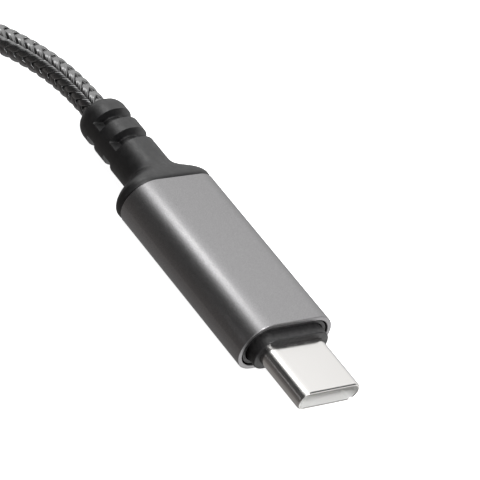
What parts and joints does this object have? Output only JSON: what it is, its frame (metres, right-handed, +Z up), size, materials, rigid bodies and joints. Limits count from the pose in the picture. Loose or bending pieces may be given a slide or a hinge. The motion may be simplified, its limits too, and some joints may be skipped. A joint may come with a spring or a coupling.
{
  "type": "usb power meter",
  "caption": "Pod-shaped USB-C power meter with a display, a mode button and a USB-C socket, on a short braided lead that ends in a metal-sleeved USB-C plug.",
  "frame": {"origin": "centre of the pod's flat underside", "axes": "+X along the pod to its socket end, +Z up through the display, lead leaves along -X"},
  "size_m": [0.1035, 0.0868, 0.0115],
  "materials": {
    "anodised": "bead-blasted space-grey anodised",
    "plated": "nickel-plated, smooth",
    "nose": "moulded, satin",
    "relief": "matte thermoplastic elastomer",
    "braid": "braided nylon, two over two",
    "insulator": "moulded",
    "gold": "gold-plated",
    "spring_steel": "stamped",
    "board": "solder mask",
    "chip": "epoxy",
    "copper": "tinned copper",
    "wire": "insulated",
    "cap": "fine texture",
    "screw": "black oxide",
    "lens": "smoked, polished",
    "foam": "foam",
    "panel": "polished",
    "carrier": "moulded",
    "button": "satin"
  },
  "bodies": {
    "meter": {"plug_shell": "plated", "plug_insulator": "insulator", "plug_contacts_upper": "gold", "plug_contacts_lower": "gold", "plug_latch_plate": "spring_steel", "plug_ground_springs": "spring_steel", "plug_card": "board", "plug_chip": "chip", "plug_small_parts": "chip", "plug_cable_tail": "braid", "plug_wires": "wire", "plug_crimp": "copper", "plug_shield_upper": "spring_steel", "plug_shield_lower": "spring_steel", "plug_inner_mould": "nose", "plug_sleeve": "anodised", "plug_strain_relief": "relief", "cable": "braid", "meter_sleeve": "anodised", "socket_end_cap": "cap", "cable_end_cap": "cap", "case_screws": "screw", "display_lens": "lens", "lens_tape": "foam", "display_gasket": "foam", "display_panel": "panel", "display_carrier": "carrier", "display_flex": "copper", "main_board": "board", "controller_chip": "chip", "current_shunt": "copper", "supply_inductor": "chip", "board_small_parts": "chip", "socket_shell": "plated", "socket_tongue": "insulator", "socket_contacts_upper": "gold", "socket_contacts_lower": "gold", "meter_cable_tail": "braid", "meter_strain_relief": "relief", "meter_crimp": "copper", "meter_wires": "wire", "switch_body": "insulator", "switch_dome": "spring_steel"},
    "mode_button": {"mode_button": "button", "switch_plunger": "button"}
  },
  "joints": [
    {"name": "mode_press", "type": "slide", "parent": "meter", "child": "mode_button", "axis": [0, 0, -1], "range_m": [0, 0.0003], "stiffness_N_per_m": 600, "springref_m": -0.0005}
  ]
}
